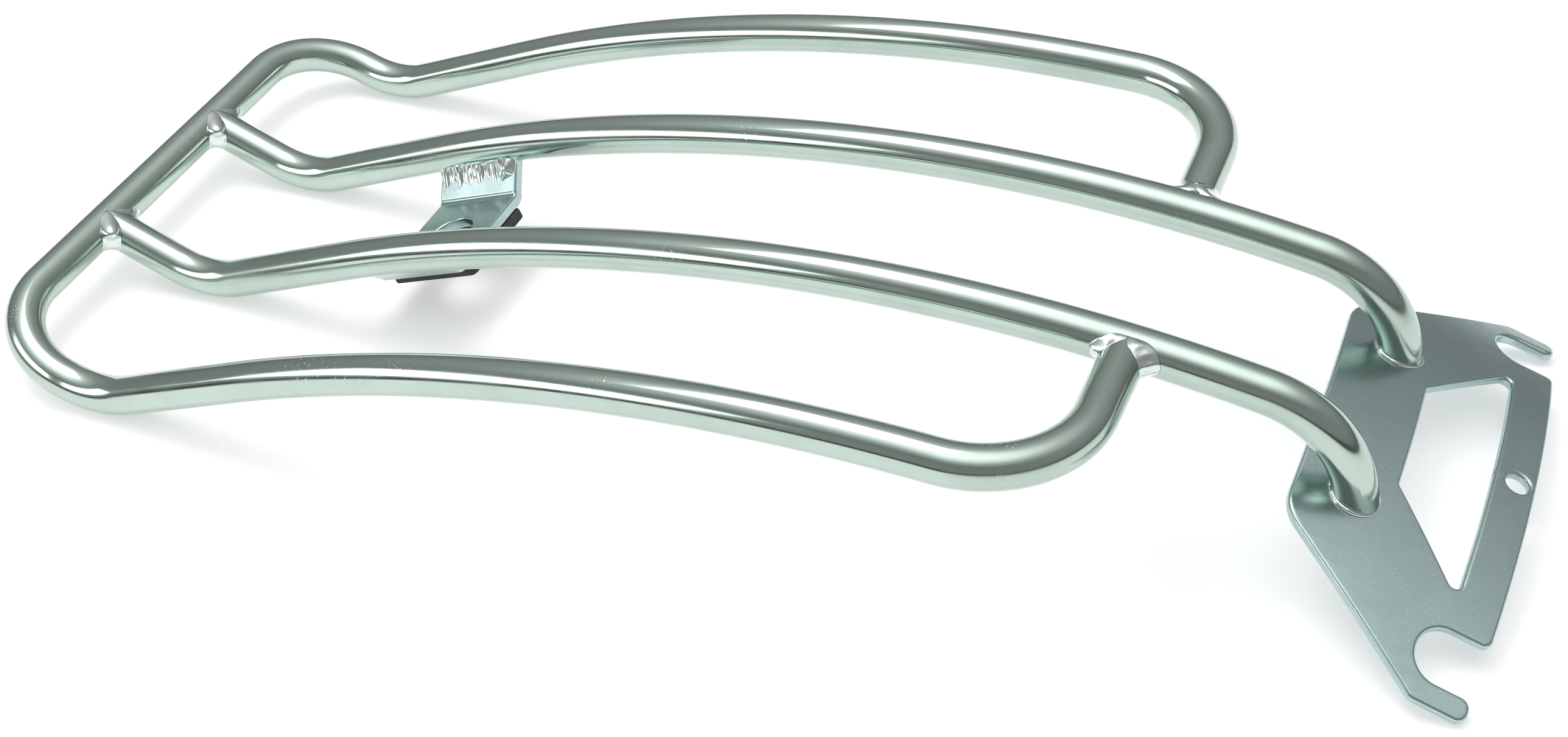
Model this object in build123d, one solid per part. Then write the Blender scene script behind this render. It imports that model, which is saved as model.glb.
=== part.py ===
from build123d import *
import math
import os

# Rear luggage rack of bent round steel bar, welded, in mm.
# X points to the front of the motorcycle, Y to its left and Z up.
# The origin ends up under the middle of the rack, on the surface that it stands on.

# Bar, spacing and bends
bar_diameter = 12.7
outer_half_width = 93.3
inner_half_spacing = 31.2
bend_radius = 33.0
corner_radius = 28.0
return_radius = 33.0
arch_radius = 530.0

# Side profile of the rails, rear bar to plate, angles from level in degrees
kick_straight = 0.5
kick_angle = 22.25
rise_length = 50.0
rise_angle = 22.15
fall_angle = 10.45
drop_angle = 81.35
foot_length = 2.0
return_station = 230.0
return_drop = 0.7

# Front plate: stations run forward from its rear edge, half widths out from the middle
plate_thickness = 3.2
plate_slope = 19.05
plate_length = 63.9
plate_crown_radius = 242.0
foot_station = 16.7
rear_half_width = 45.0
arm_half_width = 79.0
arm_length = 15.5
arm_width = 6.7
arm_tip_rounding = 0.45
rear_corner_radius = 12.0
shoulder_radius = 4.0
front_corner_radius = 2.5
slot_width = 15.6
slot_depth = 18.6
front_bar_width = 12.5
window_length = 24.1
window_rear_half_width = 20.8
window_front_half_width = 47.4
window_corner_radius = 1.9
plate_hole_diameter = 7.0
plate_hole_setback = 5.5

# Fender bracket, a bent strap under the inner rails
strap_thickness = 4.0
strap_width = 33.0
strap_station = 16.7
strap_base_half_width = 18.0
strap_base_drop = 13.0
strap_fold_radius = 1.5
strap_hole_diameter = 16.0

# Rubber pad under the bracket's base
pad_thickness = 3.3
pad_length = 35.0
pad_half_width = 17.0
pad_corner_radius = 2.0
pad_hole_diameter = 17.0

# Weld beads
corner_bead_radius = 2.7
corner_bead_length = 9.0
corner_bead_seat = 0.87
foot_bead_width = 1.3
foot_bead_height = 1.6
strap_bead_radius = 2.8
strap_bead_lift = 24.0

# Cutting bodies run past what they cut by this factor, and corners are found within this distance
overrun = 1.2
corner_tolerance = 0.1

bar_radius = bar_diameter / 2
left = Vector(0, 1, 0)
pitch_axis = Vector(0, -1, 0)


# Centre line of a bent bar, walked one straight or bend at a time
class BarPath:
    def __init__(self, start, heading):
        self.start = start
        self.first_heading = heading
        self.point = start
        self.heading = heading
        self.edges = []

    def straight(self, length):
        end = self.point + self.heading * length
        self.edges.append(Edge.make_line(self.point, end))
        self.point = end

    def bend(self, axis, angle, radius):
        # A positive angle turns the heading right-handed about the axis
        start = self.point
        heading = self.heading
        side = axis.cross(heading) * math.copysign(1, angle)
        turn = math.radians(abs(angle))

        def on_arc(part_turn):
            along = radius * math.sin(part_turn)
            aside = radius * (1 - math.cos(part_turn))
            return start + heading * along + side * aside

        self.point = on_arc(turn)
        self.heading = heading * math.cos(turn) + side * math.sin(turn)
        self.edges.append(Edge.make_three_point_arc(start, on_arc(turn / 2), self.point))

    def bar(self):
        section = Plane(self.start, z_dir=self.first_heading) * Circle(bar_radius)
        return sweep(section, path=Wire(self.edges))


def level_heading(angle):
    # Heading in the side plane, angle in degrees above level
    return Vector(math.cos(math.radians(angle)), 0, math.sin(math.radians(angle)))


def walk_to_arch(path):
    # Dip bend and straight rise, shared by the inner and outer rails
    path.bend(pitch_axis, kick_angle + rise_angle, bend_radius)
    path.straight(rise_length)


def arch_angle(station):
    return math.degrees(station / arch_radius)


def mirrored(solid):
    return mirror(solid, about=Plane.XZ)


def corners_at(sketch, place):
    # Corners at a place, each read without its sign so that both sides are found
    found = []
    for corner in sketch.vertices():
        near_x = abs(abs(corner.X) - abs(place[0])) < corner_tolerance
        near_y = abs(abs(corner.Y) - abs(place[1])) < corner_tolerance
        if near_x and near_y:
            found.append(corner)
    return found


# Inner rail centre line, its bracket and return stations on the arch, and its foot on the plate
kick_heading = level_heading(-kick_angle)
rear_joint = left * inner_half_spacing
inner_path = BarPath(rear_joint, kick_heading)
inner_path.straight(corner_radius + kick_straight)
walk_to_arch(inner_path)

strap_path = BarPath(inner_path.point, inner_path.heading)
strap_path.bend(pitch_axis, -arch_angle(strap_station), arch_radius)
return_path = BarPath(inner_path.point, inner_path.heading)
return_turn = math.degrees(math.asin(return_radius / arch_radius))
return_path.bend(pitch_axis, -(arch_angle(return_station) + return_turn), arch_radius)

inner_path.bend(pitch_axis, -(rise_angle + fall_angle), arch_radius)
inner_path.bend(pitch_axis, -(drop_angle - fall_angle), bend_radius)
inner_path.straight(foot_length)
foot_point = inner_path.point
inner_path.straight(bar_diameter)

# Outer rail centre line, from the middle of the rear bar to the inner rail
outer_path = BarPath(Vector(0, 0, 0), left)
outer_path.straight(outer_half_width - corner_radius)
outer_path.bend(left.cross(kick_heading), 90, corner_radius)
outer_path.straight(kick_straight)
walk_to_arch(outer_path)
outer_path.bend(pitch_axis, -arch_angle(return_station), arch_radius)
return_end = return_path.point - outer_path.heading.cross(left) * return_drop
to_inner_rail = return_end - outer_path.point - outer_path.heading * return_radius
turn_in = to_inner_rail.normalized()
outer_path.bend(outer_path.heading.cross(turn_in), 90, return_radius)
outer_path.straight(to_inner_rail.length - return_radius)

# Frame of the plate: forward down the slope, left, and up out of the top face
slope_heading = level_heading(-plate_slope)
plate_up = level_heading(90 - plate_slope)


def crown_tilt(half_width):
    return math.asin(half_width / plate_crown_radius)


def crown_drop(half_width):
    return plate_crown_radius * (1 - math.cos(crown_tilt(half_width)))


ridge_point = foot_point - rear_joint + plate_up * crown_drop(inner_half_spacing)
rear_point = ridge_point - slope_heading * foot_station


def crowned_sheet(thickness):
    # Sheet rolled about the slope, with its top face at the plate's top face
    reach = crown_tilt(arm_half_width * overrun)
    low_radius = plate_crown_radius - thickness
    outward = Vector(math.sin(reach), math.cos(reach))
    centre = Vector(0, -plate_crown_radius)
    low_end = centre + outward * low_radius
    top_end = centre + outward * plate_crown_radius
    half_outline = Line((0, 0), (0, -thickness))
    half_outline += RadiusArc((0, -thickness), low_end, low_radius)
    half_outline += Line(low_end, top_end)
    half_outline += RadiusArc(top_end, (0, 0), -plate_crown_radius)
    half_section = make_face(half_outline)
    section = half_section + mirror(half_section, about=Plane.YZ)
    across = Plane(rear_point, x_dir=left, z_dir=slope_heading)
    return extrude(across * section, amount=plate_length * overrun)


def plate_outline():
    shoulder_station = plate_length - arm_length
    outline = make_face(Polyline(
        (0, -rear_half_width),
        (shoulder_station, -arm_half_width),
        (plate_length, -arm_half_width),
        (plate_length, arm_half_width),
        (shoulder_station, arm_half_width),
        (0, rear_half_width),
        close=True,
    ))
    slot_radius = slot_width / 2
    slot_run = slot_depth - slot_radius
    slot_outside = arm_half_width - arm_width
    slot_middle = slot_outside - slot_radius
    for middle in (-slot_middle, slot_middle):
        outline -= Pos(plate_length - slot_run, middle) * Circle(slot_radius)
        outline -= Pos(plate_length - slot_run / 2, middle) * Rectangle(slot_run, slot_width)
    tip_radius = arm_width * arm_tip_rounding
    rounding = [
        ((0, rear_half_width), rear_corner_radius),
        ((shoulder_station, arm_half_width), shoulder_radius),
        ((plate_length, arm_half_width), tip_radius),
        ((plate_length, slot_outside), tip_radius),
        ((plate_length, slot_middle - slot_radius), front_corner_radius),
    ]
    for place, radius in rounding:
        outline = fillet(corners_at(outline, place), radius)
    return outline


def plate_window():
    front_station = plate_length - front_bar_width
    rear_station = front_station - window_length
    window = make_face(Polyline(
        (rear_station, -window_rear_half_width),
        (front_station, -window_front_half_width),
        (front_station, window_front_half_width),
        (rear_station, window_rear_half_width),
        close=True,
    ))
    return fillet(window.vertices(), window_corner_radius)


def front_plate():
    hole = Pos(plate_length - plate_hole_setback, 0) * Circle(plate_hole_diameter / 2)
    outline = plate_outline() - plate_window() - hole
    frame = Plane(rear_point, x_dir=slope_heading, z_dir=plate_up)
    depth = (crown_drop(arm_half_width) + plate_thickness) * overrun
    return crowned_sheet(plate_thickness) & extrude(frame * outline, amount=depth, both=True)


# The bracket's legs flare out from its flat base and point at the middle of the rails
strap_up = strap_path.heading.cross(left)
strap_middle = strap_path.point - rear_joint
strap_flare = math.atan2(strap_base_drop, inner_half_spacing - strap_base_half_width)


def strap_plane(drop):
    # Plane along the bracket's base, at a depth below the middle of the rails
    return Plane(strap_middle - strap_up * drop, x_dir=left, z_dir=strap_up)


def fender_bracket():
    inner_fold = (strap_base_half_width, -strap_base_drop)
    fold_shift = strap_thickness * math.tan(strap_flare / 2)
    outer_fold = (strap_base_half_width + fold_shift, -strap_base_drop - strap_thickness)
    leg_top = (inner_half_spacing, 0)
    leg_side = (
        inner_half_spacing + strap_thickness * math.sin(strap_flare),
        -strap_thickness * math.cos(strap_flare),
    )
    half_section = [inner_fold, leg_top, leg_side, outer_fold]
    other_half = [(-offset, height) for offset, height in reversed(half_section)]
    section = make_face(Polyline(*half_section, *other_half, close=True))
    section = fillet(corners_at(section, inner_fold), strap_fold_radius)
    section = fillet(corners_at(section, outer_fold), strap_fold_radius + strap_thickness)
    across = Plane(strap_middle, x_dir=left, z_dir=strap_path.heading)
    strap = extrude(across * section, amount=strap_width / 2, both=True)
    base = strap_plane(strap_base_drop)
    hole = extrude(base * Circle(strap_hole_diameter / 2), amount=strap_thickness * overrun, both=True)
    return strap - hole


def fender_pad():
    outline = RectangleRounded(2 * pad_half_width, pad_length, pad_corner_radius)
    outline -= Circle(pad_hole_diameter / 2)
    under_base = strap_plane(strap_base_drop + strap_thickness)
    return extrude(under_base * outline, amount=-pad_thickness)


def straight_bead(middle, heading, radius, length):
    section = Plane(middle, z_dir=heading) * Circle(radius)
    return extrude(section, amount=length / 2, both=True)


def corner_bead(joint, first, second):
    # Bead in the corner between two bars that meet square, its middle a little under their surfaces
    middle = joint + (first + second) * (bar_radius * corner_bead_seat)
    return straight_bead(middle, first.cross(second), corner_bead_radius, corner_bead_length)


def foot_bead():
    # Collar round the foot of the rail, lying on the plate's crowned top
    tilt = crown_tilt(inner_half_spacing)
    sheet_up = left * math.sin(tilt) + plate_up * math.cos(tilt)
    collar_radius = bar_radius + foot_bead_width
    collar = straight_bead(foot_point, inner_path.heading, collar_radius, 2 * bar_diameter)
    level = Plane(foot_point, x_dir=slope_heading, z_dir=sheet_up)
    slab = extrude(level * Circle(2 * bar_diameter), amount=foot_bead_height, both=True)
    return collar & slab


def strap_bead():
    # Bead along the top of a bracket leg, in the corner between its inner face and the rail
    seat = strap_flare - math.radians(strap_bead_lift)
    inward = left * (bar_radius * math.cos(seat))
    down = strap_up * (bar_radius * math.sin(seat))
    middle = strap_path.point - inward - down
    return straight_bead(middle, strap_path.heading, strap_bead_radius, strap_width)


# Bars are cut to sit against the bar or plate that they are welded to
rear_bar = Rot(90, 0, 0) * Cylinder(bar_radius, 2 * outer_half_width)
plate = front_plate()
under_plate = crowned_sheet(plate_thickness + 2 * bar_diameter)
inner_left = inner_path.bar() - rear_bar - under_plate
inner_right = mirrored(inner_left)
outer_half = outer_path.bar() - inner_left
outer_rail = outer_half + mirrored(outer_half)
bracket = fender_bracket() - inner_left - inner_right

# Beads are modelled on the left and mirrored
rail_heading = return_path.heading
left_beads = {
    "rear_weld_{}_outer": corner_bead(rear_joint, kick_heading, left) - inner_left - outer_rail,
    "rear_weld_{}_inner": corner_bead(rear_joint, kick_heading, -left) - inner_left - outer_rail,
    "return_weld_{}_front": corner_bead(return_path.point, rail_heading, -turn_in) - inner_left - outer_rail,
    "return_weld_{}_rear": corner_bead(return_path.point, -rail_heading, -turn_in) - inner_left - outer_rail,
    "foot_weld_{}": foot_bead() - inner_left - under_plate,
    "bracket_weld_{}": strap_bead() - inner_left - bracket,
}

nodes = {
    "outer_rail": outer_rail,
    "inner_rail_left": inner_left,
    "inner_rail_right": inner_right,
    "front_plate": plate,
    "fender_bracket": bracket,
    "fender_pad": fender_pad(),
}
for name, bead in left_beads.items():
    nodes[name.format("left")] = bead
    nodes[name.format("right")] = mirrored(bead)

# The origin goes under the middle of the whole rack
box = Compound(children=[node.solid() for node in nodes.values()]).bounding_box()
to_origin = Pos(-box.center().X, 0, -box.min.Z)

os.makedirs("parts", exist_ok=True)
for name, node in nodes.items():
    export_step(to_origin * node.solid(), f"parts/{name}.step")
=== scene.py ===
import math
import bmesh
import bpy
from mathutils import Matrix, Vector, noise


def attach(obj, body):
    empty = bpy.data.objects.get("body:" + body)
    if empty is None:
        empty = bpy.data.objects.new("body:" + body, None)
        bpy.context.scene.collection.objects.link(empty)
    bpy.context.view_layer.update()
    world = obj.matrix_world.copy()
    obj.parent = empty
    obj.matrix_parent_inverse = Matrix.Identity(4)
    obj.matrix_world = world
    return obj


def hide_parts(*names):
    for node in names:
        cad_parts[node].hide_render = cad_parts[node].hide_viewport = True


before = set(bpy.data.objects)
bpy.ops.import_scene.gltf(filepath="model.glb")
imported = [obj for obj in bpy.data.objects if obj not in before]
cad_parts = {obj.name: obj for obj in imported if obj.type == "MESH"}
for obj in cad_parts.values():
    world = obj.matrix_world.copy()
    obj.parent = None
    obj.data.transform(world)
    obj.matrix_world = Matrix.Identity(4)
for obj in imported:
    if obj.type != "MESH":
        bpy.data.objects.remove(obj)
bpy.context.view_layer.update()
scene = bpy.context.scene
mm = 0.001
left = Vector((0, 1, 0))
print("stage: frame loaded,", len(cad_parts), "solids")


# Small helpers for node trees

def addNode(tree, kind, **settings):
    node = tree.nodes.new(kind)
    for name, value in settings.items():
        setattr(node, name, value)
    return node


def feed(tree, node, socket, value):
    # value is another node's output, or a plain number, colour or material
    target = node.inputs[socket]
    if isinstance(value, bpy.types.NodeSocket):
        tree.links.new(value, target)
    else:
        target.default_value = value


def mathNode(tree, operation, first, second=0.0, third=0.0, clamp=False):
    node = addNode(tree, "ShaderNodeMath", operation=operation, use_clamp=clamp)
    for place, value in enumerate((first, second, third)):
        feed(tree, node, place, value)
    return node.outputs[0]


def rampNode(tree, factor, stops):
    node = addNode(tree, "ShaderNodeValToRGB")
    elements = node.color_ramp.elements
    elements[0].position, elements[0].color = stops[0]
    elements[1].position, elements[1].color = stops[-1]
    for position, colour in stops[1:-1]:
        elements.new(position).color = colour
    feed(tree, node, 0, factor)
    return node.outputs[0]


def grey(level):
    return (level, level, level, 1.0)


def maskNode(tree, factor, low, high, most=1):
    # 0 up to low, rising to most at high
    return rampNode(tree, factor, [(low, grey(0)), (high, grey(most))])


def noiseNode(tree, scale, detail, roughness):
    # noise on object coordinates, scale in cells per metre
    place = addNode(tree, "ShaderNodeTexCoord")
    node = addNode(tree, "ShaderNodeTexNoise")
    feed(tree, node, "Vector", place.outputs["Object"])
    feed(tree, node, "Scale", scale)
    feed(tree, node, "Detail", detail)
    feed(tree, node, "Roughness", roughness)
    return node.outputs["Fac"]


def speckNode(tree, scale, size):
    # small round specks on object coordinates, 1 inside a speck
    place = addNode(tree, "ShaderNodeTexCoord")
    cells = addNode(tree, "ShaderNodeTexVoronoi", feature="F1")
    feed(tree, cells, "Vector", place.outputs["Object"])
    feed(tree, cells, "Scale", scale)
    return mathNode(tree, "LESS_THAN", cells.outputs["Distance"], size)


# Sockets of a Mix node that mixes colours
mixSockets = {"factor": 0, "first": 6, "second": 7, "result": 2}


def mixColours(tree, factor, first, second):
    node = addNode(tree, "ShaderNodeMix", data_type="RGBA")
    feed(tree, node, mixSockets["factor"], factor)
    feed(tree, node, mixSockets["first"], first)
    feed(tree, node, mixSockets["second"], second)
    return node.outputs[mixSockets["result"]]


def startMaterial(name):
    material = bpy.data.materials.new(name)
    material.use_nodes = True
    shader = material.node_tree.nodes["Principled BSDF"]
    return material, material.node_tree, shader


def addBump(tree, shader, height, strength, distance):
    bump = addNode(tree, "ShaderNodeBump")
    feed(tree, bump, "Strength", strength)
    feed(tree, bump, "Distance", distance)
    feed(tree, bump, "Height", height)
    feed(tree, shader, "Normal", bump.outputs[0])


# Finishes: a tuple of numbers is what its helper above takes, in the same order

# Bright plated bar: smooth reflections, slow dull patches, clusters of small pits
brightBar = {
    "colour": (0.50, 0.60, 0.542, 1.0),
    "dullColour": (0.445, 0.54, 0.483, 1.0),
    "pitColour": (0.80, 0.83, 0.82, 1.0),
    "smooth": 0.12,
    "dull": 0.22,
    "pitRoughness": 0.35,
    "patches": (28.0, 4.0, 0.6),
    "patchMask": (0.42, 0.70),
    "clusters": (34.0, 3.0, 0.5),
    "clusterMask": (0.60, 0.68),
    "pits": (760.0, 0.17),
    "waves": (140.0, 2.0, 0.5),
    "waveShare": 0.25,
    "bump": (0.35, 0.12 * mm),
}


def makeBrightBar(look):
    material, tree, shader = startMaterial("brightPlatedBar")
    dullness = maskNode(tree, noiseNode(tree, *look["patches"]), *look["patchMask"])
    clusterMask = maskNode(tree, noiseNode(tree, *look["clusters"]), *look["clusterMask"])
    pits = mathNode(tree, "MULTIPLY", speckNode(tree, *look["pits"]), clusterMask)
    plain = mixColours(tree, dullness, look["colour"], look["dullColour"])
    feed(tree, shader, "Base Color", mixColours(tree, pits, plain, look["pitColour"]))
    shader.inputs["Metallic"].default_value = 1.0
    rough = mathNode(tree, "MULTIPLY_ADD", dullness, look["dull"] - look["smooth"], look["smooth"])
    feed(tree, shader, "Roughness", mathNode(tree, "MULTIPLY_ADD", pits, look["pitRoughness"], rough))
    waves = mathNode(tree, "MULTIPLY", noiseNode(tree, *look["waves"]), look["waveShare"])
    addBump(tree, shader, mathNode(tree, "SUBTRACT", waves, pits), *look["bump"])
    return material


# Satin plate: sheet steel plated over its own fine grain
satinPlate = {
    "colour": (0.465, 0.595, 0.592, 1.0),
    "darkColour": (0.40, 0.525, 0.518, 1.0),
    "sparkColour": (0.62, 0.70, 0.70, 1.0),
    "smooth": 0.22,
    "rough": 0.31,
    "clouds": (45.0, 5.0, 0.65),
    "cloudMask": (0.35, 0.68),
    "sparks": (900.0, 0.16),
    "grain": (2600.0, 3.0, 0.7),
    "bump": (0.22, 0.05 * mm),
}


def makeSatinPlate(look):
    material, tree, shader = startMaterial("satinPlatedSheet")
    clouds = maskNode(tree, noiseNode(tree, *look["clouds"]), *look["cloudMask"])
    sparks = speckNode(tree, *look["sparks"])
    plain = mixColours(tree, clouds, look["colour"], look["darkColour"])
    feed(tree, shader, "Base Color", mixColours(tree, sparks, plain, look["sparkColour"]))
    shader.inputs["Metallic"].default_value = 1.0
    rough = mathNode(tree, "MULTIPLY_ADD", clouds, look["rough"] - look["smooth"], look["smooth"])
    feed(tree, shader, "Roughness", rough)
    addBump(tree, shader, noiseNode(tree, *look["grain"]), *look["bump"])
    return material


# Plated weld: bright and lumpy, faintly golden in places
weldBead = {
    "colour": (0.72, 0.785, 0.76, 1.0),
    "goldColour": (0.70, 0.67, 0.58, 1.0),
    "smooth": 0.15,
    "rough": 0.30,
    "tint": (90.0, 3.0, 0.5),
    "tintMask": (0.58, 0.80, 0.6),
    "grain": (900.0, 3.0, 0.6),
    "bump": (0.35, 0.12 * mm),
}


def makeWeldBead(look):
    material, tree, shader = startMaterial("platedWeld")
    tint = maskNode(tree, noiseNode(tree, *look["tint"]), *look["tintMask"])
    feed(tree, shader, "Base Color", mixColours(tree, tint, look["colour"], look["goldColour"]))
    shader.inputs["Metallic"].default_value = 1.0
    rough = mathNode(tree, "MULTIPLY_ADD", tint, look["rough"] - look["smooth"], look["smooth"])
    feed(tree, shader, "Roughness", rough)
    addBump(tree, shader, noiseNode(tree, *look["grain"]), *look["bump"])
    return material


# Rubber pad: matt, a little dusty
padRubber = {
    "colour": (0.030, 0.031, 0.033, 1.0),
    "dustColour": (0.075, 0.075, 0.074, 1.0),
    "plainRoughness": 0.62,
    "dustRoughness": 0.82,
    "dust": (160.0, 4.0, 0.65),
    "dustMask": (0.45, 0.72),
    "grain": (1400.0, 3.0, 0.5),
    "bump": (0.4, 0.1 * mm),
}


def makePadRubber(look):
    material, tree, shader = startMaterial("padRubber")
    dust = maskNode(tree, noiseNode(tree, *look["dust"]), *look["dustMask"])
    feed(tree, shader, "Base Color", mixColours(tree, dust, look["colour"], look["dustColour"]))
    spread = look["dustRoughness"] - look["plainRoughness"]
    feed(tree, shader, "Roughness", mathNode(tree, "MULTIPLY_ADD", dust, spread, look["plainRoughness"]))
    addBump(tree, shader, noiseNode(tree, *look["grain"]), *look["bump"])
    return material


barMaterial = makeBrightBar(brightBar)
plateMaterial = makeSatinPlate(satinPlate)
weldMaterial = makeWeldBead(weldBead)
padMaterial = makePadRubber(padRubber)
print("stage: materials made")


# Geometry Nodes trees

def startTree(name, inputs):
    tree = bpy.data.node_groups.new(name, "GeometryNodeTree")
    tree.interface.new_socket("Geometry", in_out="INPUT", socket_type="NodeSocketGeometry")
    tree.interface.new_socket("Geometry", in_out="OUTPUT", socket_type="NodeSocketGeometry")
    for label, kind in inputs:
        tree.interface.new_socket(label, in_out="INPUT", socket_type="NodeSocket" + kind)
    return tree, addNode(tree, "NodeGroupInput")


def endTree(tree, geometry, material):
    smooth = addNode(tree, "GeometryNodeSetShadeSmooth")
    feed(tree, smooth, "Geometry", geometry)
    realize = addNode(tree, "GeometryNodeRealizeInstances")
    feed(tree, realize, "Geometry", smooth.outputs[0])
    paint = addNode(tree, "GeometryNodeSetMaterial")
    feed(tree, paint, "Geometry", realize.outputs[0])
    feed(tree, paint, "Material", material)
    out = addNode(tree, "NodeGroupOutput")
    feed(tree, out, 0, paint.outputs[0])


def makeBarTree():
    tree, given = startTree("barAlongPath", [("Diameter", "Float"), ("Sides", "Int"), ("Finish", "Material")])
    path = addNode(tree, "GeometryNodeMeshToCurve")
    feed(tree, path, 0, given.outputs["Geometry"])
    section = addNode(tree, "GeometryNodeCurvePrimitiveCircle")
    feed(tree, section, "Resolution", given.outputs["Sides"])
    feed(tree, section, "Radius", mathNode(tree, "MULTIPLY", given.outputs["Diameter"], 0.5))
    bar = addNode(tree, "GeometryNodeCurveToMesh")
    feed(tree, bar, "Curve", path.outputs[0])
    feed(tree, bar, "Profile Curve", section.outputs[0])
    feed(tree, bar, "Fill Caps", True)
    endTree(tree, bar.outputs[0], given.outputs["Finish"])
    return tree


# Weld trees: how finely a ring bead is built and how fine its lumps are
beadGrain = {
    "step": 0.35 * mm,
    "sides": 22,
    "lumpDetail": 1.5,
}
roughInputs = [
    ("Ripple pitch", "Float"), ("Ripple depth", "Float"), ("Lump scale", "Float"),
    ("Lump height", "Float"), ("Seed", "Float"), ("Finish", "Material")]


def namedAttribute(tree, name):
    node = addNode(tree, "GeometryNodeInputNamedAttribute", data_type="FLOAT")
    feed(tree, node, "Name", name)
    return node.outputs[0]


def rippleAlong(tree, given, length):
    turns = mathNode(tree, "DIVIDE", length, given.outputs["Ripple pitch"])
    wave = mathNode(tree, "SINE", mathNode(tree, "MULTIPLY", turns, 2 * math.pi))
    return mathNode(tree, "MULTIPLY", wave, given.outputs["Ripple depth"])


def lumpRise(tree, given):
    lumps = addNode(tree, "ShaderNodeTexNoise", noise_dimensions="4D")
    feed(tree, lumps, "W", given.outputs["Seed"])
    feed(tree, lumps, "Scale", given.outputs["Lump scale"])
    feed(tree, lumps, "Detail", beadGrain["lumpDetail"])
    swing = mathNode(tree, "SUBTRACT", lumps.outputs[0], 0.5)
    return mathNode(tree, "MULTIPLY", swing, given.outputs["Lump height"])


def pushOut(tree, geometry, rise):
    outward = addNode(tree, "ShaderNodeVectorMath", operation="SCALE")
    feed(tree, outward, 0, addNode(tree, "GeometryNodeInputNormal").outputs[0])
    feed(tree, outward, "Scale", rise)
    moved = addNode(tree, "GeometryNodeSetPosition")
    feed(tree, moved, "Geometry", geometry)
    feed(tree, moved, "Offset", outward.outputs[0])
    return moved.outputs[0]


def makeWeldTree():
    # a closed bead along a seam: ripples across it and random lumps
    tree, given = startTree("beadAlongSeam", [("Radius", "Float")] + roughInputs)
    seam = addNode(tree, "GeometryNodeMeshToCurve")
    feed(tree, seam, 0, given.outputs["Geometry"])
    points = addNode(tree, "GeometryNodeResampleCurve", mode="LENGTH")
    feed(tree, points, "Curve", seam.outputs[0])
    feed(tree, points, "Length", beadGrain["step"])
    along = addNode(tree, "GeometryNodeSplineParameter").outputs["Length"]
    rippled = mathNode(tree, "ADD", rippleAlong(tree, given, along), 1.0)
    section = addNode(tree, "GeometryNodeCurvePrimitiveCircle")
    feed(tree, section, "Resolution", beadGrain["sides"])
    feed(tree, section, "Radius", given.outputs["Radius"])
    bead = addNode(tree, "GeometryNodeCurveToMesh")
    feed(tree, bead, "Curve", points.outputs[0])
    feed(tree, bead, "Profile Curve", section.outputs[0])
    feed(tree, bead, "Scale", mathNode(tree, "MULTIPLY", rippled, namedAttribute(tree, "fullness")))
    feed(tree, bead, "Fill Caps", True)
    lumpy = pushOut(tree, bead.outputs[0], lumpRise(tree, given))
    endTree(tree, lumpy, given.outputs["Finish"])
    return tree


def makeFilletTree():
    # roughens a plain fillet: ripples across the seam and random lumps, none at its toes
    tree, given = startTree("filletSkin", roughInputs)
    ripple = rippleAlong(tree, given, namedAttribute(tree, "along"))
    rise = mathNode(tree, "ADD", ripple, lumpRise(tree, given))
    rise = mathNode(tree, "MULTIPLY", rise, namedAttribute(tree, "fullness"))
    rough = pushOut(tree, given.outputs["Geometry"], rise)
    endTree(tree, rough, given.outputs["Finish"])
    return tree


barTree = makeBarTree()
weldTree = makeWeldTree()
filletTree = makeFilletTree()


def linkMesh(name, mesh):
    piece = bpy.data.objects.new(name, mesh)
    scene.collection.objects.link(piece)
    return piece


def setInputs(modifier, values):
    for item in modifier.node_group.interface.items_tree:
        if item.item_type == "SOCKET" and item.in_out == "INPUT" and item.name in values:
            modifier[item.identifier] = values[item.name]


def plainMesh(piece):
    # the evaluated result becomes the piece's own mesh, without modifiers
    bpy.context.view_layer.update()
    seen = piece.evaluated_get(bpy.context.evaluated_depsgraph_get())
    made = bpy.data.meshes.new_from_object(seen)
    piece.modifiers.clear()
    piece.data = made
    return piece


def growOnPath(name, tree, points, values, fullness=()):
    # a path with a fullness for each of its points is closed
    mesh = bpy.data.meshes.new(name)
    edges = [(i, i + 1) for i in range(len(points) - 1)]
    if fullness:
        edges.append((len(points) - 1, 0))
    mesh.from_pydata(points, edges, [])
    if fullness:
        mesh.attributes.new("fullness", "FLOAT", "POINT").data.foreach_set("value", fullness)
    piece = linkMesh(name, mesh)
    modifier = piece.modifiers.new(name, "NODES")
    modifier.node_group = tree
    setInputs(modifier, values)
    return plainMesh(piece)


def settle(piece, slot, *nodes):
    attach(piece, "root")
    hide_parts(*nodes)


# Rails: centre lines walked as the bar is bent, in mm and degrees, rear bar first
rails = {
    "diameter": 12.7,
    "sides": 44,
    "rearAxis": (-229.72, 0.0, 19.78),
    "outerHalfWidth": 93.3,
    "innerHalfSpacing": 31.2,
    "bendRadius": 33.0,
    "cornerRadius": 28.0,
    "returnRadius": 33.0,
    "archRadius": 530.0,
    "kickStraight": 0.5,
    "kickAngle": 22.25,
    "riseLength": 50.0,
    "riseAngle": 22.15,
    "fallAngle": 10.45,
    "dropAngle": 81.35,
    "footLength": 2.0,
    "returnStation": 230.0,
    "returnDrop": 0.7,
    "bracketStation": 16.7,
    "stepLength": 5.0,
    "stepAngle": 3.0,
}
barRadius = rails["diameter"] / 2
rearAxis = Vector(rails["rearAxis"])
pitchAxis = -left


def levelHeading(angle):
    return Vector((math.cos(math.radians(angle)), 0, math.sin(math.radians(angle))))


def startWalk(point, heading):
    return {"points": [point.copy()], "heading": heading.copy()}


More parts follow.
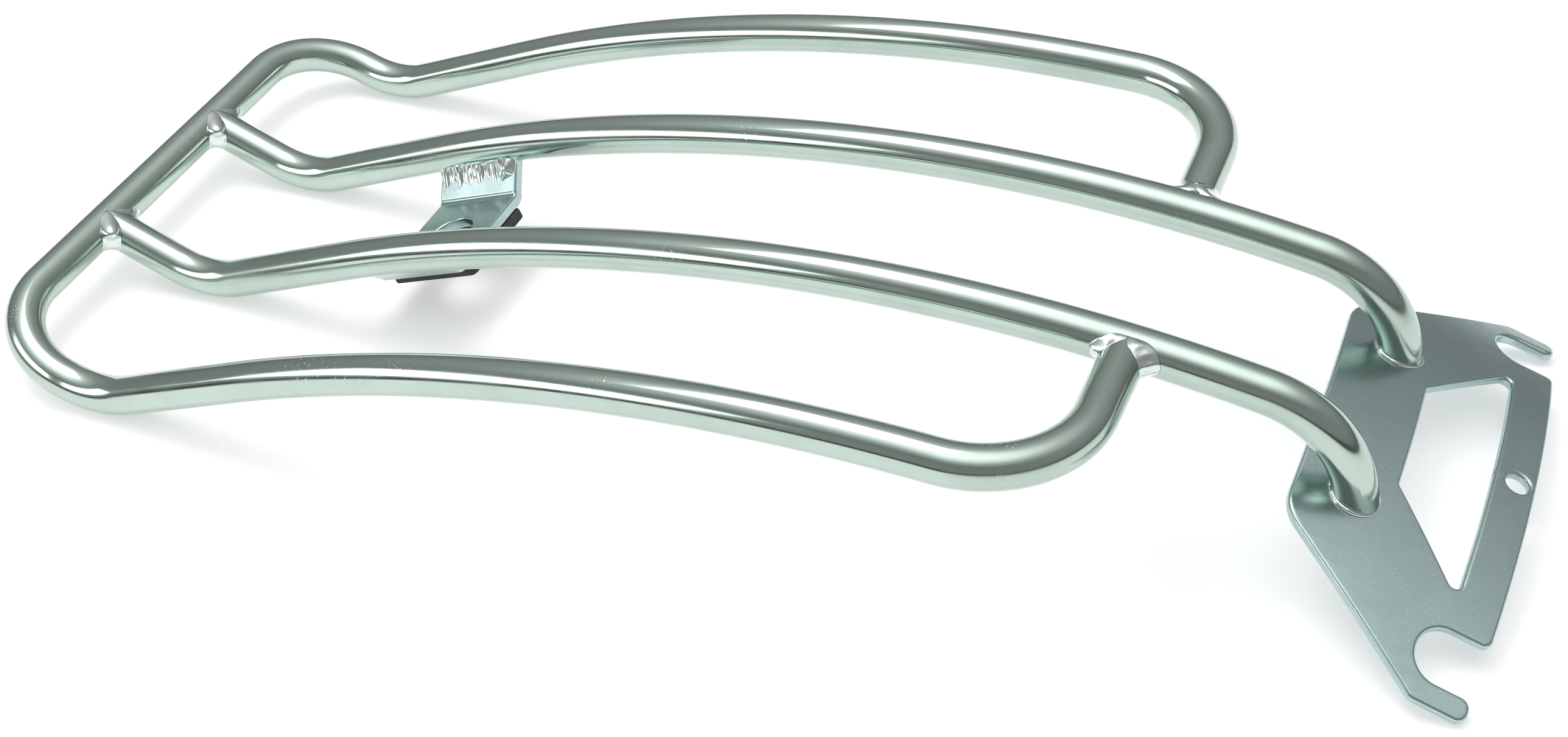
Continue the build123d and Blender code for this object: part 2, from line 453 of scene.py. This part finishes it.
def goStraight(walk, length):
    start = walk["points"][-1]
    steps = max(1, math.ceil(length / rails["stepLength"]))
    walk["points"] += [start + walk["heading"] * (length * i / steps) for i in range(1, steps + 1)]


def goRound(walk, axis, angle, radius):
    start, heading = walk["points"][-1], walk["heading"]
    side = axis.cross(heading) * math.copysign(1, angle)
    turn = math.radians(abs(angle))
    steps = max(math.ceil(abs(angle) / rails["stepAngle"]), math.ceil(turn * radius / rails["stepLength"]))
    for i in range(1, steps + 1):
        part = turn * i / steps
        aside = side * (radius * (1 - math.cos(part)))
        walk["points"].append(start + heading * (radius * math.sin(part)) + aside)
    walk["heading"] = heading * math.cos(turn) + side * math.sin(turn)


def archTurn(station):
    return math.degrees(station / rails["archRadius"])


def walkOn(walk, station):
    # a side walk along the arch, from where the rise ends
    branch = startWalk(walk["points"][-1], walk["heading"])
    goRound(branch, pitchAxis, -archTurn(station), rails["archRadius"])
    return branch["points"][-1], branch["heading"]


kickHeading = levelHeading(-rails["kickAngle"])
rearJoint = rearAxis + left * rails["innerHalfSpacing"]
innerWalk = startWalk(rearJoint, kickHeading)
goStraight(innerWalk, rails["cornerRadius"] + rails["kickStraight"])
goRound(innerWalk, pitchAxis, rails["kickAngle"] + rails["riseAngle"], rails["bendRadius"])
goStraight(innerWalk, rails["riseLength"])
bracketPoint, bracketHeading = walkOn(innerWalk, rails["bracketStation"])
returnTurn = math.asin(rails["returnRadius"] / rails["archRadius"]) * rails["archRadius"]
returnPoint, returnHeading = walkOn(innerWalk, rails["returnStation"] + returnTurn)
goRound(innerWalk, pitchAxis, -(rails["riseAngle"] + rails["fallAngle"]), rails["archRadius"])
goRound(innerWalk, pitchAxis, -(rails["dropAngle"] - rails["fallAngle"]), rails["bendRadius"])
goStraight(innerWalk, rails["footLength"])
footPoint, footHeading = innerWalk["points"][-1].copy(), innerWalk["heading"].copy()
goStraight(innerWalk, rails["diameter"])

outerWalk = startWalk(rearAxis, left)
goStraight(outerWalk, rails["outerHalfWidth"] - rails["cornerRadius"])
goRound(outerWalk, left.cross(kickHeading), 90, rails["cornerRadius"])
goStraight(outerWalk, rails["kickStraight"])
goRound(outerWalk, pitchAxis, rails["kickAngle"] + rails["riseAngle"], rails["bendRadius"])
goStraight(outerWalk, rails["riseLength"])
goRound(outerWalk, pitchAxis, -archTurn(rails["returnStation"]), rails["archRadius"])
returnEnd = returnPoint - outerWalk["heading"].cross(left) * rails["returnDrop"]
toInnerRail = returnEnd - outerWalk["points"][-1] - outerWalk["heading"] * rails["returnRadius"]
turnIn = toInnerRail.normalized()
goRound(outerWalk, outerWalk["heading"].cross(turnIn), 90, rails["returnRadius"])
goStraight(outerWalk, toInnerRail.length - rails["returnRadius"])


def onSide(point, side):
    return Vector((point.x, point.y * side, point.z))


def metres(points):
    return [point * mm for point in points]


barValues = {"Diameter": rails["diameter"] * mm, "Sides": rails["sides"], "Finish": barMaterial}
halfOuter = outerWalk["points"]
wholeOuter = [onSide(point, -1) for point in reversed(halfOuter[1:])] + halfOuter
outerRail = growOnPath("outerRail", barTree, metres(wholeOuter), barValues)
settle(outerRail, "bright_bar", "outer_rail")


# Front plate: cut from sheet rolled to a slight crown; stations run forward from its rear edge
plate = {
    "thickness": 3.2,
    "slope": 19.05,
    "length": 63.9,
    "crownRadius": 242.0,
    "footStation": 16.7,
    "rearHalfWidth": 45.0,
    "armHalfWidth": 79.0,
    "armLength": 15.5,
    "armWidth": 6.7,
    "tipRadius": 3.0,
    "rearCornerRadius": 12.0,
    "shoulderRadius": 4.0,
    "frontCornerRadius": 2.5,
    "slotWidth": 15.6,
    "slotDepth": 18.6,
    "slotRounding": 0.999,
    "frontBarWidth": 12.5,
    "windowLength": 24.1,
    "windowRearHalfWidth": 20.8,
    "windowFrontHalfWidth": 47.4,
    "windowCornerRadius": 1.9,
    "holeDiameter": 7.0,
    "holeSetback": 5.5,
    "edgeRadius": 1.05,
    "crownCuts": 32,
}
slopeHeading = levelHeading(-plate["slope"])
plateUp = levelHeading(90 - plate["slope"])


def crownTilt(offset):
    return math.asin(max(-1, min(1, offset / plate["crownRadius"])))


def crownDrop(offset):
    return plate["crownRadius"] * (1 - math.cos(crownTilt(offset)))


def sheetUp(offset):
    return plateUp * math.cos(crownTilt(offset)) + left * math.sin(crownTilt(offset))


footMiddle = Vector((footPoint.x, 0, footPoint.z))
plateRear = footMiddle + plateUp * crownDrop(rails["innerHalfSpacing"]) - slopeHeading * plate["footStation"]


def plateSpot(station, offset, height):
    # height is measured square to the crowned sheet, from its top face
    top = plateRear + slopeHeading * station + left * offset - plateUp * crownDrop(offset)
    return top + sheetUp(offset) * height


# Sheet parts: how finely their outlines, rims and holes are divided
sheets = {
    "spacing": 2.4,
    "cornerStep": 11,
    "cornerSteps": 4,
    "rimSteps": 5,
    "holeSteps": 40,
    "flatWeight": 100,
}


def roundedLoop(corners, spacing=sheets["spacing"]):
    # corners are (along, across, radius); a straight is split so that the sheet can bend
    loop = []
    for i, (x, y, radius) in enumerate(corners):
        here = Vector((x, y))
        before = (Vector(corners[i - 1][:2]) - here).normalized()
        after = (Vector(corners[(i + 1) % len(corners)][:2]) - here).normalized()
        half = before.angle(after) / 2
        middle = here + (before + after).normalized() * (radius / math.sin(half))
        setback = radius / math.tan(half)
        start, end = here + before * setback, here + after * setback
        turn = (start - middle).angle_signed(end - middle)
        steps = max(sheets["cornerSteps"], math.ceil(abs(turn) / math.radians(sheets["cornerStep"])))
        for k in range(steps + 1):
            spin = Matrix.Rotation(-turn * k / steps, 2)
            loop.append(middle + spin @ (start - middle))
    split = []
    for i, point in enumerate(loop):
        following = loop[(i + 1) % len(loop)]
        parts = max(1, math.ceil((following - point).length / spacing))
        split += [point.lerp(following, k / parts) for k in range(parts)]
    return split


def circleLoop(along, across, radius):
    angles = [2 * math.pi * k / sheets["holeSteps"] for k in range(sheets["holeSteps"])]
    return [Vector((along + radius * math.cos(a), across + radius * math.sin(a))) for a in angles]


def isLeftTurning(loop):
    area = sum(a.x * b.y - a.y * b.x for a, b in zip(loop, loop[1:] + loop[:1]))
    return area > 0


def sheetPiece(name, outline, holes, thickness, edgeRadius, spot, cuts, material):
    # a closed flat sheet with rounded edges in (along, across, height), then bent by spot
    loops = [outline if isLeftTurning(outline) else outline[::-1]]
    loops += [hole[::-1] if isLeftTurning(hole) else hole for hole in holes]
    quarter = [math.pi / 2 * k / sheets["rimSteps"] for k in range(sheets["rimSteps"] + 1)]
    levels = [(edgeRadius * (1 - math.sin(a)), -edgeRadius * (1 - math.cos(a))) for a in quarter]
    levels += [(inset, -thickness - height) for inset, height in reversed(levels)]
    mesh = bmesh.new()
    rims = ([], [])
    for loop in loops:
        count = len(loop)
        inward = []
        for i in range(count):
            run = (loop[(i + 1) % count] - loop[i]).normalized() + (loop[i] - loop[i - 1]).normalized()
            run.normalize()
            inward.append(Vector((-run.y, run.x)))
        rings = []
        for inset, height in levels:
            spots = [loop[i] + inward[i] * inset for i in range(count)]
            rings.append([mesh.verts.new((p.x, p.y, height)) for p in spots])
        for upper, lower in zip(rings, rings[1:]):
            for i in range(count):
                j = (i + 1) % count
                mesh.faces.new((upper[i], lower[i], lower[j], upper[j]))
        for rim, ring in zip(rims, (rings[0], rings[-1])):
            rim += [mesh.edges.get((ring[i], ring[(i + 1) % count])) for i in range(count)]
    for rim in rims:
        bmesh.ops.triangle_fill(mesh, use_beauty=True, edges=rim)
    for axis, place in cuts:
        normal = Vector((1, 0, 0)) if axis == "along" else Vector((0, 1, 0))
        everything = mesh.verts[:] + mesh.edges[:] + mesh.faces[:]
        bmesh.ops.bisect_plane(mesh, geom=everything, plane_co=normal * place, plane_no=normal)
    for vert in mesh.verts:
        vert.co = spot(*vert.co) * mm
    bmesh.ops.recalc_face_normals(mesh, faces=mesh.faces[:])
    for face in mesh.faces:
        face.smooth = True
    made = bpy.data.meshes.new(name)
    mesh.to_mesh(made)
    mesh.free()
    made.materials.append(material)
    piece = linkMesh(name, made)
    weigh = piece.modifiers.new("flats stay flat", "WEIGHTED_NORMAL")
    weigh.weight = sheets["flatWeight"]
    return plainMesh(piece)


def plateLoop():
    size = plate
    shoulder = size["length"] - size["armLength"]
    slotRadius = size["slotWidth"] / 2 * size["slotRounding"]
    slotOutside = size["armHalfWidth"] - size["armWidth"]
    slotInside = slotOutside - size["slotWidth"]
    slotEnd = size["length"] - size["slotDepth"]
    half = [
        (0, size["rearHalfWidth"], size["rearCornerRadius"]),
        (shoulder, size["armHalfWidth"], size["shoulderRadius"]),
        (size["length"], size["armHalfWidth"], size["tipRadius"]),
        (size["length"], slotOutside, size["tipRadius"]),
        (slotEnd, slotOutside, slotRadius),
        (slotEnd, slotInside, slotRadius),
        (size["length"], slotInside, size["frontCornerRadius"]),
    ]
    return roundedLoop(half + [(x, -y, radius) for x, y, radius in reversed(half)])


def windowLoop():
    front = plate["length"] - plate["frontBarWidth"]
    rear = front - plate["windowLength"]
    wide, narrow = plate["windowFrontHalfWidth"], plate["windowRearHalfWidth"]
    corners = [(rear, narrow), (front, wide), (front, -wide), (rear, -narrow)]
    return roundedLoop([(x, y, plate["windowCornerRadius"]) for x, y in corners])


plateHole = circleLoop(plate["length"] - plate["holeSetback"], 0, plate["holeDiameter"] / 2)
cutStep = 2 * plate["armHalfWidth"] / plate["crownCuts"]
crownCuts = [("across", cutStep * k - plate["armHalfWidth"]) for k in range(1, plate["crownCuts"])]
frontPlate = sheetPiece(
    "frontPlate", plateLoop(), [windowLoop(), plateHole], plate["thickness"], plate["edgeRadius"],
    plateSpot, crownCuts, plateMaterial)
settle(frontPlate, "satin_plate", "front_plate")


# Inner rails: the front end is cut off inside the plate, along its slope
def cutBar(piece, through, normal, reach):
    mesh = bmesh.new()
    mesh.from_mesh(piece.data)
    faces = [face for face in mesh.faces if (face.calc_center_median() - through).length < reach]
    edges = list({edge for face in faces for edge in face.edges})
    verts = list({vert for face in faces for vert in face.verts})
    bmesh.ops.bisect_plane(
        mesh, geom=verts + edges + faces, plane_co=through, plane_no=normal, clear_inner=True)
    bmesh.ops.holes_fill(mesh, edges=[edge for edge in mesh.edges if edge.is_boundary])
    mesh.to_mesh(piece.data)
    mesh.free()


for word, side in (("Left", 1), ("Right", -1)):
    footUp = sheetUp(side * rails["innerHalfSpacing"])
    path = metres([onSide(point, side) for point in innerWalk["points"]])
    innerRail = growOnPath("innerRail" + word, barTree, path, barValues)
    through = (onSide(footPoint, side) - footUp * (plate["thickness"] / 2)) * mm
    cutBar(innerRail, through, footUp, 2 * rails["diameter"] * mm)
    settle(innerRail, "bright_bar", "inner_rail_" + word.lower())
print("stage: rails and plate built")


# Fender bracket: one strap folded into a flat base and two legs that flare out to the rails
bracket = {
    "thickness": 4.0,
    "width": 33.0,
    "baseHalfWidth": 18.0,
    "baseDrop": 13.0,
    "foldRadius": 2.6,
    "holeDiameter": 16.0,
    "legEnd": 4.6,
    "cornerRadius": 1.2,
    "edgeRadius": 0.7,
    "foldCuts": 8,
    "guardCuts": (0.3, 0.6, 0.9, 1.2),
    "spacing": 1.2,
    "creaseDepth": 0.22,
    "creaseWidth": 0.9,
}
bracketUp = bracketHeading.cross(left)
bracketMiddle = Vector((bracketPoint.x, 0, bracketPoint.z))
flare = math.atan2(bracket["baseDrop"], rails["innerHalfSpacing"] - bracket["baseHalfWidth"])
foldSetback = bracket["foldRadius"] * math.tan(flare / 2)
foldStart = bracket["baseHalfWidth"] - foldSetback
foldLength = bracket["foldRadius"] * flare
foldEnd = foldStart + foldLength
legSlant = math.hypot(bracket["baseDrop"], rails["innerHalfSpacing"] - bracket["baseHalfWidth"])
legTop = foldEnd + legSlant - foldSetback - bracket["legEnd"]


def within(value, most):
    return min(max(value, 0), most)


def bracketSpot(along, across, height):
    # the strap is folded, with a shallow crease where a leg leaves its fold
    distance, side = abs(across), math.copysign(1, across)
    turn = within((distance - foldStart) / bracket["foldRadius"], flare)
    beyond = max(distance - foldEnd, 0)
    y = min(distance, foldStart) + bracket["foldRadius"] * math.sin(turn) + beyond * math.cos(flare)
    z = bracket["foldRadius"] * (1 - math.cos(turn)) + beyond * math.sin(flare)
    crease = within((foldEnd + bracket["creaseWidth"] - distance) / bracket["creaseWidth"], 1)
    fading = within((distance - foldStart) / foldLength, 1)
    height -= bracket["creaseDepth"] * crease * crease * (3 - 2 * crease) * fading
    y -= height * math.sin(turn)
    z += height * math.cos(turn)
    lift = bracketUp * (z - bracket["baseDrop"])
    return bracketMiddle + bracketHeading * along + left * (side * y) + lift


halfStrap = bracket["width"] / 2
strapCorners = [(-halfStrap, -legTop), (halfStrap, -legTop), (halfStrap, legTop), (-halfStrap, legTop)]
strapLoop = roundedLoop([(x, y, bracket["cornerRadius"]) for x, y in strapCorners], bracket["spacing"])
foldPlaces = [foldStart + foldLength * k / bracket["foldCuts"] for k in range(bracket["foldCuts"] + 1)]
# guard cuts keep the flats' shading out of the fold
foldPlaces.append(foldStart - bracket["guardCuts"][0])
foldPlaces += [foldEnd + guard for guard in bracket["guardCuts"]]
foldCuts = [("across", place * side) for place in foldPlaces for side in (1, -1)]
fenderBracket = sheetPiece(
    "fenderBracket", strapLoop, [circleLoop(0, 0, bracket["holeDiameter"] / 2)], bracket["thickness"],
    bracket["edgeRadius"], bracketSpot, foldCuts, plateMaterial)
settle(fenderBracket, "satin_plate", "fender_bracket")


# Rubber pad under the bracket's base
pad = {
    "thickness": 3.3,
    "length": 35.0,
    "halfWidth": 17.0,
    "cornerRadius": 2.0,
    "holeDiameter": 17.0,
    "edgeRadius": 0.5,
}


def padSpot(along, across, height):
    drop = bracket["baseDrop"] + bracket["thickness"] - height
    return bracketMiddle + left * along + bracketHeading * across - bracketUp * drop


padCorners = [(pad["halfWidth"] * a, pad["length"] / 2 * b, pad["cornerRadius"])
              for a, b in ((-1, -1), (1, -1), (1, 1), (-1, 1))]
fenderPad = sheetPiece(
    "fenderPad", roundedLoop(padCorners), [circleLoop(0, 0, pad["holeDiameter"] / 2)], pad["thickness"],
    pad["edgeRadius"], padSpot, [], padMaterial)
settle(fenderPad, "pad_rubber", "fender_pad")
print("stage: bracket and pad built")


# Welds: fillets in the corners between bars, a streaky one on each bracket leg, a thin ring at each foot
welds = {
    "sink": 0.08,
    "lumpScale": 240.0,
    "seamSteps": 56,
    "faceSteps": 12,
    "endPower": 5,
    "leastFullness": 0.05,
    "capAt": 84,
    "capSpread": 26,
    "rootDepth": 0.2,
    "rootReach": 0.8,
    "plainPitch": 2.0,
    "sideSeed": 3.1,
    "seedStep": 0.7,
    "rearNear": {"leg": 4.4, "from": -64, "to": 90, "hollow": 0.30, "lump": 0.35, "cap": 0.8,
                 "blobAt": 56, "blobSpread": 22, "blobRise": 1.0, "blobLeg": 0.15},
    "rearFar": {"leg": 4.8, "from": -64, "to": 90, "hollow": 0.36, "lump": 0.25, "cap": 0.5},
    "returnFrontLeft": {"leg": 5.4, "from": -56, "to": 112, "hollow": 0.30, "lump": 0.30, "cap": 1.2},
    "returnRearLeft": {"leg": 4.4, "from": -46, "to": 104, "hollow": 0.30, "lump": 0.30, "cap": 1.0},
    "returnFrontRight": {"leg": 4.8, "from": -24, "to": 90, "hollow": 0.06, "lump": 0.75, "cap": 0.9,
                         "pitch": 2.7, "depth": 0.10},
    "returnRearRight": {"leg": 2.8, "from": -30, "to": 90, "hollow": 0.25, "lump": 0.30, "cap": 0.7,
                        "blobAt": 30, "blobSpread": 13, "blobRise": 0.9, "blobLeg": 0.35},
    "foot": {"radius": 0.8, "lump": 0.45, "depth": 0.02, "pitch": 1.7, "steps": 60, "clearance": 0.1,
             "fullest": (-0.57, -0.82, 0.0), "least": 0.25, "gain": 0.95},
    "bracket": {"leg": 6.0, "rise": 2.2, "bulge": -0.30, "lump": 1.0, "pitch": 1.7, "depth": 0.05,
                "endPower": 12, "blobBack": 3.4, "blobSpread": 2.7, "blobRise": 2.3, "blobTurn": 0.25,
                "drips": ((0.42, 1.0, 0.0), (1.1, 0.5, 4.0)), "dripLeg": 0.5, "dripTurn": 0.25,
                "dripRise": 0.3, "railRoot": 1.2, "legRoot": 1.0, "toeRoot": 0.8},
}


def bell(distance, spread):
    return math.exp(-(distance / spread) ** 2)


def fullAlong(part, power):
    # 1 along most of a weld, falling off at both its ends
    return max(math.sqrt(1 - abs(2 * part - 1) ** power), welds["leastFullness"])


def cornerFillet(joint, first, second, drop, size):
    # rings of a fillet between bars that meet square, along first and second, the second's axis lower by drop
    up = first.cross(second)
    if up.z < 0:
        up = -up
    rings, along, before = [], 0.0, None
    for k in range(welds["seamSteps"] + 1):
        part = k / welds["seamSteps"]
        angle = size["from"] + (size["to"] - size["from"]) * part
        turn = math.radians(angle)
        blob = bell(angle - size["blobAt"], size["blobSpread"]) if "blobAt" in size else 0.0
        ends = fullAlong(part, welds["endPower"])
        leg = size["leg"] * ends * (1 + size.get("blobLeg", 0.0) * blob)
        bulge = size.get("blobRise", 0.0) * blob - size["hollow"]
        cap = size["cap"] * bell(angle - welds["capAt"], welds["capSpread"]) * ends
        height = barRadius * math.sin(turn) - drop
        reach = math.sqrt(max(barRadius ** 2 - height ** 2, 0.0))
        corner = joint + first * (barRadius * math.cos(turn)) + second * reach + up * height
        along += (corner - before).length if before else 0.0
        before = corner
        ring = []
        for j in range(welds["faceSteps"] + 1):
            s = j / welds["faceSteps"]
            swell = 2 * s * (1 - s) * bulge
            ahead = first * ((1 - s + swell) * leg - welds["sink"])
            aside = second * ((s + swell) * leg - welds["sink"])
            lift = up * (swell * leg * math.sin(turn) + cap * math.sin(math.pi * s))
            ring.append((corner + (ahead + aside) + lift, along, math.sin(math.pi * s) * ends))
        deep, far = -welds["rootDepth"], welds["rootReach"]
        for a, b in ((deep, far), (deep, deep), (far, deep)):
            ring.append((corner + (first * a + second * b) * leg, along, 0.0))
        rings.append(ring)
    return rings


def bracketFillet(side, seed):
    # rings of the weld on one leg's inner face, from low on the leg up to the rail's side
    size = welds["bracket"]
    upLeg = left * math.cos(flare) + bracketUp * math.sin(flare)
    offFace = bracketUp * math.cos(flare) - left * math.sin(flare)
    half = bracket["width"] / 2
    rings = []
    for k in range(2 * welds["seamSteps"] + 1):
        part = k / (2 * welds["seamSteps"])
        place = half * (2 * part - 1)
        ends = fullAlong(part, size["endPower"])
        drip = 0.0
        for scale, share, row in size["drips"]:
            drip += share * noise.noise(Vector((place * scale, seed, row)))
        blob = bell(place - half + size["blobBack"], size["blobSpread"])
        down = size["leg"] * ends * (1 + size["dripLeg"] * drip)
        turn = size["rise"] * ends * (1 + size["dripTurn"] * drip + size["blobTurn"] * blob) / barRadius
        onRail = offFace * math.sin(turn) - upLeg * math.cos(turn)
        legToe = bracketPoint - upLeg * (barRadius + down) - offFace * welds["sink"]
        railToe = bracketPoint + onRail * (barRadius - welds["sink"])
        bulge = size["bulge"] + size["dripRise"] * drip + size["blobRise"] * blob
        out = (offFace - upLeg).normalized() * ends * bulge
        shift = bracketHeading * place
        ring = []
        for j in range(welds["faceSteps"] + 1):
            s = j / welds["faceSteps"]
            spot = legToe.lerp(railToe, s) + out * (4 * s * (1 - s)) + shift
            ring.append((onSide(spot, side), place, math.sin(math.pi * s) * ends))
        inLeg = bracketPoint - offFace * size["legRoot"]
        roots = [
            bracketPoint + onRail * (barRadius - size["railRoot"]),
            inLeg - upLeg * (barRadius - size["legRoot"]),
            inLeg - upLeg * (barRadius + size["toeRoot"] * down),
        ]
        ring += [(onSide(spot + shift, side), place, 0.0) for spot in roots]
        rings.append(ring)
    return rings


def footSeam(side):
    # ring where the rail's foot meets the plate, fuller on one side
    size = welds["foot"]
    fullest = Vector(size["fullest"])
    footUp = sheetUp(side * rails["innerHalfSpacing"])
    foot, heading = onSide(footPoint, side), onSide(footHeading, side)
    across = heading.cross(left).normalized()
    points, fullness = [], []
    for k in range(size["steps"]):
        spin = 2 * math.pi * k / size["steps"]
        out = (left * math.cos(spin) + across * math.sin(spin)) * (barRadius + size["clearance"])
        points.append(foot + out - heading * (out.dot(footUp) / heading.dot(footUp)))
        fullness.append(size["least"] + size["gain"] * max(0.0, out.normalized().dot(fullest)))
    return points, fullness


def weldValues(size, seed):
    return {
        "Ripple pitch": size.get("pitch", welds["plainPitch"]) * mm,
        "Lump scale": welds["lumpScale"],
        "Lump height": size["lump"] * mm,
        "Seed": seed,
        "Finish": weldMaterial,
    }


def skinWeld(name, node, rings, size, seed):
    mesh = bmesh.new()
    alongLayer = mesh.verts.layers.float.new("along")
    fullLayer = mesh.verts.layers.float.new("fullness")
    made = []
    for ring in rings:
        made.append([])
        for spot, along, fullness in ring:
            vert = mesh.verts.new(spot * mm)
            vert[alongLayer], vert[fullLayer] = along * mm, fullness
            made[-1].append(vert)
    for one, other in zip(made, made[1:]):
        for j in range(len(one)):
            following = (j + 1) % len(one)
            mesh.faces.new((one[j], one[following], other[following], other[j]))
    mesh.faces.new(made[0])
    mesh.faces.new(made[-1])
    bmesh.ops.recalc_face_normals(mesh, faces=mesh.faces[:])
    blank = bpy.data.meshes.new(name)
    mesh.to_mesh(blank)
    mesh.free()
    weld = linkMesh(name, blank)
    modifier = weld.modifiers.new(name, "NODES")
    modifier.node_group = filletTree
    setInputs(modifier, {**weldValues(size, seed), "Ripple depth": size.get("depth", 0.0) * mm})
    settle(plainMesh(weld), "weld_bead", node)


def ringWeld(name, node, seam, size, seed):
    # here the ripple's depth is a share of the bead's radius
    points, fullness = seam
    values = {**weldValues(size, seed), "Ripple depth": size["depth"], "Radius": size["radius"] * mm}
    settle(growOnPath(name, weldTree, metres(points), values, fullness), "weld_bead", node)


for number, (word, side) in enumerate((("Left", 1), ("Right", -1))):
    low = word.lower()
    seed = welds["sideSeed"] * number
    out = left * side
    for place, sideways in (("Outer", out), ("Inner", -out)):
        # a joint's right-hand corner is the one that carries a blob
        size = welds["rearNear" if sideways.y < 0 else "rearFar"]
        rings = cornerFillet(onSide(rearJoint, side), kickHeading, sideways, 0.0, size)
        skinWeld("rearWeld" + word + place, f"rear_weld_{low}_{place.lower()}", rings, size, seed)
        seed += welds["seedStep"]
    away = onSide(-turnIn, side)
    for place, ahead in (("Front", returnHeading), ("Rear", -returnHeading)):
        size = welds["return" + place + word]
        rings = cornerFillet(onSide(returnPoint, side), ahead, away, rails["returnDrop"], size)
        skinWeld("returnWeld" + word + place, f"return_weld_{low}_{place.lower()}", rings, size, seed)
        seed += welds["seedStep"]
    ringWeld("footWeld" + word, "foot_weld_" + low, footSeam(side), welds["foot"], seed)
    seed += welds["seedStep"]
    skinWeld("bracketWeld" + word, "bracket_weld_" + low, bracketFillet(side, seed), welds["bracket"], seed)
print("stage: welds laid")


# Studio: pale floor, soft light from above and one side, grey walls that are lighter on the far side
studio = {
    "floorHalf": 14.0,
    "floorColour": (0.86, 0.86, 0.86, 1.0),
    "floorGlow": 0.38,
    "farSlope": 0.8,
    "overhead": {"size": (0.62, 0.44), "place": (-0.30, 0.10, 1.05), "aim": (0.0, 0.0, 0.03), "power": 2.9},
    "window": {"size": (1.15, 0.48), "place": (-1.01, -0.93, 0.60), "aim": (0.0, 0.0, 0.03), "power": 4.4},
    "nearStops": [
        (0.0, grey(0.95)), (0.50, grey(0.90)), (0.508, grey(0.04)), (0.55, grey(0.05)), (0.585, grey(0.30)),
        (0.66, grey(0.32)), (0.84, grey(0.27)), (0.92, grey(0.65)), (1.0, grey(1.9))],
    "farStops": [
        (0.0, grey(0.95)), (0.50, grey(0.90)), (0.512, grey(0.17)), (0.60, grey(0.26)), (0.70, grey(0.35)),
        (0.83, grey(0.46)), (0.92, grey(0.80)), (1.0, grey(1.9))],
}


def makeFloor():
    half = studio["floorHalf"]
    mesh = bpy.data.meshes.new("floor")
    corners = [(-half, -half, 0), (half, -half, 0), (half, half, 0), (-half, half, 0)]
    mesh.from_pydata(corners, [], [(0, 1, 2, 3)])
    floor = linkMesh("floor", mesh)
    material = bpy.data.materials.new("paleFloor")
    material.use_nodes = True
    tree = material.node_tree
    tree.nodes.clear()
    matt = addNode(tree, "ShaderNodeBsdfDiffuse")
    matt.inputs["Color"].default_value = studio["floorColour"]
    glow = addNode(tree, "ShaderNodeEmission")
    rays = addNode(tree, "ShaderNodeLightPath")
    seen = mathNode(tree, "ADD", rays.outputs["Is Camera Ray"], rays.outputs["Is Glossy Ray"])
    seen = mathNode(tree, "ADD", seen, rays.outputs["Is Transmission Ray"], clamp=True)
    feed(tree, glow, "Strength", mathNode(tree, "MULTIPLY", seen, studio["floorGlow"]))
    both = addNode(tree, "ShaderNodeAddShader")
    feed(tree, both, 0, matt.outputs[0])
    feed(tree, both, 1, glow.outputs[0])
    out = addNode(tree, "ShaderNodeOutputMaterial")
    feed(tree, out, "Surface", both.outputs[0])
    mesh.materials.append(material)


def makeWorld():
    world = bpy.data.worlds.new("studioWorld")
    scene.world = world
    world.use_nodes = True
    tree = world.node_tree
    tree.nodes.clear()
    place = addNode(tree, "ShaderNodeTexCoord")
    split = addNode(tree, "ShaderNodeSeparateXYZ")
    feed(tree, split, 0, place.outputs["Generated"])
    # both run from 0 to 1: the horizon and the rack's middle plane are at a half
    height = mathNode(tree, "MULTIPLY_ADD", split.outputs["Z"], 0.5, 0.5)
    towardsFar = mathNode(tree, "MULTIPLY_ADD", split.outputs["Y"], studio["farSlope"], 0.5, clamp=True)
    nearWall, farWall = (rampNode(tree, height, studio[stops]) for stops in ("nearStops", "farStops"))
    sky = addNode(tree, "ShaderNodeBackground")
    feed(tree, sky, "Color", mixColours(tree, towardsFar, nearWall, farWall))
    out = addNode(tree, "ShaderNodeOutputWorld")
    feed(tree, out, "Surface", sky.outputs[0])


def makeSoftbox(name, box):
    lamp = bpy.data.lights.new(name, "AREA")
    lamp.shape = "RECTANGLE"
    lamp.size, lamp.size_y = box["size"]
    lamp.energy = box["power"]
    light = bpy.data.objects.new(name, lamp)
    scene.collection.objects.link(light)
    light.location = box["place"]
    aim = Vector(box["aim"]) - light.location
    light.rotation_euler = aim.to_track_quat("-Z", "Y").to_euler()


makeFloor()
makeWorld()
makeSoftbox("overheadLight", studio["overhead"])
makeSoftbox("windowLight", studio["window"])
scene.view_settings.view_transform = "Standard"

# Camera at the photograph's angle; the columns are its right, up and back
camera = {
    "right": (0.91855, 0.39036, -0.06225),
    "up": (-0.21463, 0.62478, 0.75071),
    "back": (0.33195, -0.67621, 0.65768),
    "place": (0.23238, -0.46031, 0.44298),
    "lens": 48.745,
    "sensor": 36.0,
    "clipStart": 0.01,
}
lens = bpy.data.cameras.new("camera")
lens.lens = camera["lens"]
lens.sensor_fit = "HORIZONTAL"
lens.sensor_width = camera["sensor"]
lens.clip_start = camera["clipStart"]
viewer = bpy.data.objects.new("camera", lens)
scene.collection.objects.link(viewer)
turned = Matrix((camera["right"], camera["up"], camera["back"])).transposed().to_4x4()
viewer.matrix_world = Matrix.Translation(camera["place"]) @ turned
scene.camera = viewer
print("stage: studio and camera set")
